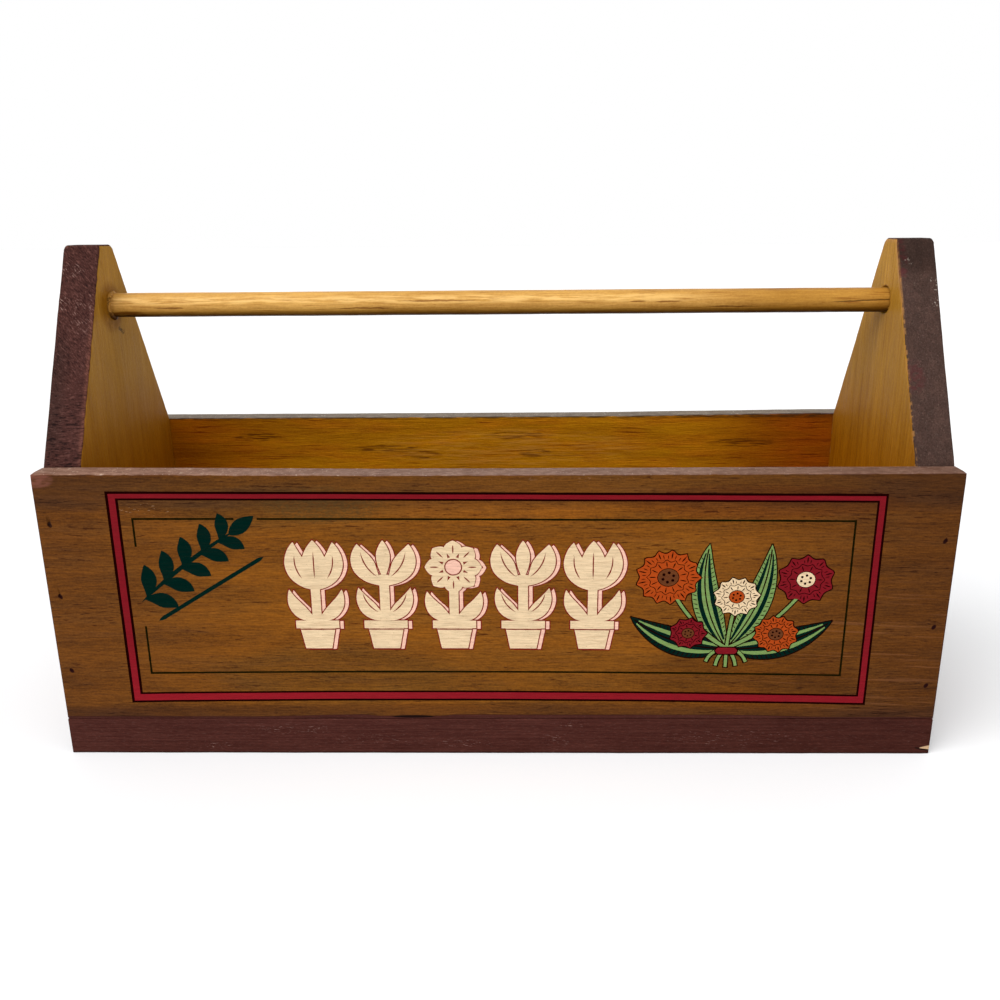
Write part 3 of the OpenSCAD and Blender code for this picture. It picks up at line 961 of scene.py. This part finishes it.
def strokeFilm(ink, layer, stroke, grow=0.0, shift=(0.0, 0.0)):
    # (s, c) -> path(s) + c * half(s) * normal(s), c running across the top and back underneath
    path, half = stroke
    path = np.asarray(path, float) + shift
    run, normal = alongAndAcross(path)
    if grow:
        path = np.vstack([path[0] - grow * run[0], path, path[-1] + grow * run[-1]])
        normal = np.vstack([normal[0], normal, normal[-1]])
        half = np.concatenate([[half[0]], half, [half[-1]]])
    length = np.concatenate([[0], np.cumsum(np.linalg.norm(np.diff(path, axis=0), axis=1))])
    waver = ripple(length, len(path) + int(100 * half.max()), ((7, 1), (2.9, 0.7)))
    wide = np.maximum(half + grow + sheet["uneven"] * waver, 0.03)
    across = np.array([-1, -0.5, 0, 0.5, 1, 1, 0, -1.0])
    lift = np.array([layer * sheet["layer"]] * 5 + [-sheet["root"]] * 3)
    spots = path[:, None, :] + across[None, :, None] * (wide[:, None] * normal)[:, None, :]
    layFilm(ink, onSheet(spots[..., 0], spots[..., 1], lift[None, :]))


def blobFilm(ink, layer, blob, grow=0.0, shift=(0.0, 0.0)):
    # (q, k) -> middle + k * (radius(q) + grow) * (cos q, sin q), from the underside up and in to the middle
    middle, radius = blob
    q = np.linspace(0, 2 * math.pi, 72, endpoint=False)
    waver = ripple(q / (2 * math.pi) * 60, int(10 * abs(middle[0])), ((7.5, 1), (3, 0.7)))
    reach = radius(q) + grow + sheet["uneven"] * waver
    share = np.array([1, 1, 0.6, 0.25])
    lift = np.array([-sheet["root"]] + [layer * sheet["layer"]] * 3)
    x = middle[0] + shift[0] + share[:, None] * reach * np.cos(q)
    z = middle[1] + shift[1] + share[:, None] * reach * np.sin(q)
    layFilm(ink, onSheet(x, z, lift[:, None] + 0 * x))


def layShape(ink, layer, shape, grow=0.0, shift=(0.0, 0.0)):
    # a blob is a middle and a radius function, a stroke is a path and its half widths
    (blobFilm if callable(shape[1]) else strokeFilm)(ink, layer, shape, grow, shift)


def outlined(ink, layer, shape, line):
    # the shape in ink over a wider one in black
    layShape("black", layer, shape, line)
    layShape(ink, layer + 1, shape)


def frameFilm(ink, layer, outer, inner):
    # band between two rectangles (x0, z0, x1, z1): four sides with mitred corners, a little uneven
    ring = []
    for lift, rectangle in ((1, outer), (1, inner), (0, inner), (0, outer)):
        x0, z0, x1, z1 = rectangle
        turn = [(x0, z0), (x1, z0), (x1, z1), (x0, z1), (x0, z0)]
        spots = np.concatenate([np.linspace(p, q, 60, endpoint=False) for p, q in zip(turn, turn[1:])])
        spots = spots + sheet["uneven"] * np.column_stack([ripple(spots[:, 1], 3), ripple(spots[:, 0], 5)])
        height = layer * sheet["layer"] if lift else -sheet["root"]
        ring.append(onSheet(spots[:, 0], spots[:, 1], np.full(len(spots), height)))
    inks.setdefault(ink, []).append(closedLoop(np.stack(ring, 1)))


def bar(start, end, half, taper=0.0, bow=0.0, steps=16):
    # p + (q - p) s + bow * 4 s (1 - s) * normal, its width falling off over taper at both ends
    p, q = np.array(start, float), np.array(end, float)
    s = np.linspace(0, 1, steps)
    side = np.array([-(q - p)[1], (q - p)[0]]) / np.linalg.norm(q - p)
    path = p + s[:, None] * (q - p) + bow * (4 * s * (1 - s))[:, None] * side
    fall = np.clip(np.minimum(s, 1 - s) / taper, 0, 1) ** 0.6 if taper else np.ones(steps)
    return path, half * fall


def leaf(start, end, half, bow=0.0, peak=0.45, steps=26):
    # like bar, with half width half * sin(pi s^k)^0.85, k putting the widest place at peak
    path, _ = bar(start, end, half, 0, bow, steps)
    s = np.linspace(0, 1, steps)
    return path, half * np.sin(math.pi * s ** (math.log(0.5) / math.log(peak))) ** 0.85


def rosette(middle, size, petals=0, depth=0.0, squash=1.0, turn=0.0):
    # radius(q) = size * (1 - depth * |sin(petals (q - turn) / 2)|) / |(cos q, sin q / squash)|
    def radius(q):
        lobes = size * (1 - depth * np.abs(np.sin(petals * (q - turn) / 2)))
        return lobes / np.hypot(np.cos(q), np.sin(q) / squash)

    return middle, radius


# striped border: black, red, black, then a thin green line that stops where the sprig crosses it
border = {
    "outer": (-187.5, 28.7, 187.0, 141.1),
    "bands": (     # ink, then how wide each side's band is: left, bottom, right and top
        ("black", (1.4, 1.1, 1.1, 1.2)), ("red", (3.3, 3.6, 2.8, 2.2)), ("black", (1.3, 1.0, 1.0, 1.0))),
    "line": (-175.6, 45.2, 172.8, 127.3), "lineHalf": 0.5,
    "topGap": (-126.3, -115.1), "sideGap": (71.0, 113.1)}
rectangle = np.array(border["outer"])
for bandInk, bandWidth in border["bands"]:
    smaller = rectangle + np.array(bandWidth) * (1, 1, -1, -1)
    frameFilm(bandInk, 2, rectangle, smaller)
    rectangle = smaller
x0, z0, x1, z1 = border["line"]
green = border["lineHalf"]
for start, end in (((x0, z1), (border["topGap"][0], z1)), ((border["topGap"][1], z1), (x1 + green, z1)),
                   ((x1, z1), (x1, z0)), ((x1 + green, z0), (x0 - green, z0)),
                   ((x0, z0), (x0, border["sideGap"][0])), ((x0, border["sideGap"][1]), (x0, z1 + green))):
    strokeFilm("lineGreen", 1, bar(start, end, green, steps=60))

# slanting sprig of brushed leaves over a stroke
sprig = {"from": (-176.0, 84.0), "to": (-127.0, 121.0), "pairs": 5, "long": (17.5, 13.5), "half": (3.9, 3.2)}


def laySprig(spec):
    # pairs of leaves up a bowed stem, which grow smaller toward its tip
    strokeFilm("darkGreen", 1, bar((-168.5, 74.0), (-113.3, 107.8), 1.0, taper=0.04, steps=40))
    stem = bar(spec["from"], spec["to"], 1.1, taper=0.3, bow=1.5, steps=40)
    strokeFilm("darkGreen", 2, stem)
    way = np.array(spec["to"]) - spec["from"]
    way = way / np.linalg.norm(way)
    side = np.array([-way[1], way[0]])
    for k in range(spec["pairs"]):
        share = (k + 0.35) / spec["pairs"]
        foot = stem[0][int(share * 39)]
        reach = np.interp(share, (0, 1), spec["long"])
        half = np.interp(share, (0, 1), spec["half"])
        for hand in (1, -1):
            start = foot + (0.8 * hand - 0.2) * way
            tip = start + reach * (0.62 * way + hand * 0.78 * side)
            layer = 3 + k % 2 + (hand > 0)
            strokeFilm("darkGreen", layer, leaf(start, tip, half, bow=-hand * 1.8, peak=0.55))
    tip = np.array(spec["to"])
    strokeFilm("darkGreen", 6, leaf(tip - 3 * way, tip + 13 * way, 3.6))


laySprig(sprig)


# row of five potted plants in cream, with a red outline and a pink drop edge
row = {"middles": (-89.0, -54.8, -20.6, 13.6, 47.8), "foot": 58.4, "drop": (2.2, -0.3), "line": 0.55}


def pot(steps=12):
    # its sides widen evenly from the foot to the rim
    body = (bar((0, 0), (0, 11.5), 1.0, steps=steps)[0], np.linspace(6.6, 8.8, steps))
    return [body, bar((-10.8, 13.2), (10.8, 13.2), 2.1)]


def both(*strokes):
    return [*strokes] + [(path * (-1, 1), half) for path, half in strokes]


def tulip():
    leaves = both(leaf((-0.5, 15.5), (-13.0, 32), 3.5, bow=3.2))
    petals = both(leaf((-0.8, 32), (-9.6, 57), 5.3, bow=3.6, peak=0.5))
    petals.append(leaf((0, 33), (0, 58), 6.0, peak=0.5))
    veins = [bar((0, 38), (0, 52), 0.3, 0.3)] + both(bar((-6.2, 38), (-9.3, 50), 0.3, 0.3, bow=1.2))
    return pot() + [bar((0, 14), (0, 36), 2.3)] + leaves + petals, veins, []


def sprout():
    big = both(leaf((-0.5, 34), (-12.6, 56), 5.6, bow=3.0, peak=0.55))
    small = both(leaf((0, 16), (-12.8, 33), 4.0, bow=3.0))
    shapes = pot() + [bar((0, 14), (0, 40), 2.4), leaf((0, 36), (0, 58), 3.4, peak=0.6)] + small + big
    veins = both(bar((-3.4, 39), (-11.0, 52), 0.3, 0.3, bow=1.6),
                 bar((-3.6, 20), (-10.8, 30), 0.3, 0.3, bow=1.3))
    return shapes, veins, []


def daisy():
    ways = [(math.sin(q), math.cos(q)) for q in np.arange(8) * math.pi / 4]
    petals = [leaf((3 * s, 44 + 3 * c), (14 * s, 44 + 14 * c), 4.3, peak=0.64) for s, c in ways]
    leaves = both(leaf((-0.5, 15.5), (-13.2, 31), 3.8, bow=3.2))
    shapes = pot() + [bar((0, 14), (0, 36), 2.3)] + leaves + petals + [rosette((0, 44), 5.4)]
    veins = [bar((7 * s, 44 + 7 * c), (11.5 * s, 44 + 11.5 * c), 0.3, 0.3) for s, c in ways]
    return shapes, veins, [rosette((0, 44), 4.4)]


for middle, ornament in zip(row["middles"], (tulip, sprout, daisy, sprout, tulip)):
    shapes, veins, hearts = ornament()
    place = np.array((middle, row["foot"]))
    dropped = place + row["drop"]
    for ink, layer, grow, shift in (("darkRed", 1, row["line"], dropped), ("pink", 2, 0.0, dropped),
                                    ("darkRed", 3, row["line"], place), ("cream", 4, 0.0, place)):
        for shape in shapes:
            layShape(ink, layer, shape, grow, shift)
    for stripe in veins + [bar((-8.6, 10.6), (8.6, 10.6), 0.3)]:
        strokeFilm("darkRed", 5, stripe, 0.0, place)
    for heart in hearts:
        blobFilm("darkRed", 5, heart, 0.0, place)
        blobFilm("pink", 6, heart, -0.6, place)
print("border, sprig and ornaments laid")


# bunch of garden flowers at the right
def petalled(middle, size, petals, fill, heart, layer, squash=0.9, turn=0.0):
    # a bloom: two rings of petals with short black strokes on them, and a dotted heart
    middle = np.array(middle)

    def stroke(start, end, angle, half, on):
        way = size * np.array((math.cos(angle), squash * math.sin(angle)))
        strokeFilm("black", on, bar(middle + start * way, middle + end * way, half, 0.4, steps=6))

    outlined(fill, layer, rosette(middle, size, petals, 0.15, squash, turn), 0.6)
    for q in turn + np.arange(petals) * 2 * math.pi / petals:
        stroke(0.68, 0.93, q, 0.32, layer + 2)
        stroke(0.66, 0.80, q + 0.15, 0.22, layer + 2)
        stroke(0.66, 0.82, q - 0.15, 0.22, layer + 2)
    inner = rosette(middle, 0.64 * size, petals, 0.15, squash, turn + math.pi / petals)
    outlined(fill, layer + 2, inner, 0.4)
    for q in turn + (np.arange(petals) + 0.5) * 2 * math.pi / petals:
        stroke(0.36, 0.57, q, 0.26, layer + 4)
    outlined(heart, layer + 4, rosette(middle, 0.31 * size, 0, 0, squash), 0.35)
    for q in np.arange(6) * math.pi / 3 + 0.4:
        dot = middle + 0.17 * size * np.array((math.cos(q), squash * math.sin(q)))
        blobFilm("black", layer + 6, rosette(tuple(dot), 0.045 * size))


def stripedLeaf(start, end, half, bow, layer, fill, stripe):
    # a leaf: black outline, fill, a stripe on each side of its rib, and hatching at its edges
    path, wide = leaf(start, end, half, bow)
    outlined(fill, layer, (path, wide), 0.6)
    run, normal = alongAndAcross(path)
    for hand in (1, -1):
        off = hand * wide[:, None] * normal
        strokeFilm(stripe, layer + 2, ((path + 0.46 * off)[2:-2], 0.16 * wide[2:-2]))
        for k in range(3, len(path) - 3):
            hatch = bar(path[k] + 0.98 * off[k], path[k] + 0.66 * off[k] - run[k], 0.24, 0.4, steps=5)
            strokeFilm("black", layer + 3, hatch)
    strokeFilm("black", layer + 3, (path[1:-1], np.full(len(path) - 2, 0.32)))


bunch = {
    "knot": (115.0, 59.5),
    "leaves": (((67.0, 76.0), 7.2, 5.0, "darkGreen", "lightGreen"),
               ((166.0, 75.0), 7.2, -5.0, "darkGreen", "lightGreen"),
               ((104.0, 115.0), 6.8, 6.0, "lightGreen", "darkGreen"),
               ((134.0, 115.0), 6.4, -5.0, "lightGreen", "darkGreen")),
    "stems": (((86, 92), 3.0), ((119, 88), 0.5), ((150, 90), -3.0), ((98, 73), 1.0), ((138, 74), -1.0)),
    "blooms": (((84.5, 97.5), 16.2, 13, "orange", "brown", 5, 0.9, 0.0),
               ((151.5, 97.0), 14.2, 10, "red", "cream", 5, 0.9, 0.3),
               ((118.5, 87.5), 11.6, 11, "cream", "orange", 6, 0.9, 0.1),
               ((95.5, 67.5), 9.4, 9, "red", "brown", 6, 0.88, 0.0),
               ((139.0, 67.5), 11.4, 12, "orange", "brown", 6, 0.88, 0.2)),
}


def layBunch(spec):
    # the leaves, the stems over them, their cut ends under the knot, the blooms, and the red tie
    knot = np.array(spec["knot"])
    for tip, half, bow, fill, stripe in spec["leaves"]:
        stripedLeaf(knot, tip, half, bow, 1, fill, stripe)
    for tip, bow in spec["stems"]:
        strokeFilm("black", 4, bar(knot, tip, 1.35, bow=bow, steps=20))
        strokeFilm("lightGreen", 5, bar(knot, tip, 0.75, bow=bow, steps=20))
    for reach in (-10, -5, 0, 5, 10):
        end = knot + (reach, -11 + 0.03 * reach * reach)
        strokeFilm("black", 4, bar(knot, end, 1.35, bow=0.2 * reach, steps=8))
        strokeFilm("lightGreen", 5, bar(knot, end + (0, 0.5), 0.75, bow=0.2 * reach, steps=8))
    for bloom in spec["blooms"]:
        petalled(*bloom)
    for ink, layer, half, reach in (("black", 7, 2.3, 6.1), ("red", 8, 1.7, 5.5)):
        strokeFilm(ink, layer, bar(knot - (reach, 1.5), knot + (reach, -1.5), half, taper=0.12))


layBunch(bunch)
print("flowers laid")


inkColours = {
    "black": (0.0090, 0.0004, 0.0004), "red": (0.170, 0.0045, 0.0100), "darkRed": (0.170, 0.010, 0.007),
    "pink": (0.800, 0.480, 0.370), "cream": (0.740, 0.560, 0.350), "darkGreen": (0.0004, 0.0120, 0.0090),
    "lineGreen": (0.0050, 0.0050, 0.0006), "lightGreen": (0.165, 0.280, 0.085),
    "orange": (0.370, 0.050, 0.0050), "brown": (0.110, 0.032, 0.010)}
inkCover = {       # how much of the wood an ink hides, where it isn't the usual 0.85
    "black": 0.99, "darkRed": 0.94, "red": 0.96, "darkGreen": 0.985, "lineGreen": 0.96, "cream": 0.82,
    "pink": 0.93}


def inkFinish(ink, colour):
    # ink over the same grain: a little darker in the fibres, and worn through in fine specks
    f = Finish("ink_" + ink)
    wood, grain, _ = boardColour(f, {**sideLook, "middle": 0.0, "inward": 1.0})
    shade = 0.84 + 0.14 * grain["fibre"] + 0.10 * grain["growth"]
    if ink == "red":        # brighter low down and to the left
        shade = shade * (1.0 + 0.4 * f.z.fall(28, 70) * (1.0 - 0.6 * f.x.step(-150, 170)))
    thin = 1.0 - inkCover.get(ink, 0.85)
    f.colour = f.mix(f.scaled(colour, shade), wood, f.grit(14, 1, 1.1, 2, 0.6).step(0.40, 0.72) * thin)
    worn = f.grit(0.9, 1, 0.5, 2, 0.6).step(0.62, 0.74)
    f.lay(f.scaled(wood, 0.8), (worn + 0.4 * grain["streaks"]) * thin * 2.2)
    height = 0.2 * grain["growth"] + 0.2 * grain["fibre"] - 0.4 * worn
    return f.close(f.colour, 0.5, height, 0.3, 0.04 if max(colour) > 0.1 else 0.0)


for ink, shells in inks.items():
    makePiece("print_" + ink, shells, inkFinish(ink, inkColours[ink]), smooth=False)
print("print made:", {ink: len(shells) for ink, shells in inks.items()})


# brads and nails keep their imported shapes

def steelFinish(name, dark, light, roughness, metal):
    f = Finish(name)
    rust = f.grit(0.8, 0.8, 0.8, 3)
    return f.close(f.mix(dark, light, rust.step(0.35, 0.7)), roughness + 0.2 * rust, rust, 0.1, 0.1, metal)


bradSteel = steelFinish("dark_brad", (0.008, 0.003, 0.002), (0.035, 0.010, 0.005), 0.7, 0.0)
nailSteel = steelFinish("dull_nail", (0.10, 0.075, 0.055), (0.30, 0.27, 0.24), 0.4, 0.8)
for nodeName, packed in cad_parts.items():
    if nodeName.endswith("brads") or nodeName.endswith("nails"):
        packed.data.materials.clear()
        packed.data.materials.append(bradSteel if nodeName.endswith("brads") else nailSteel)
print("brads and nails finished")
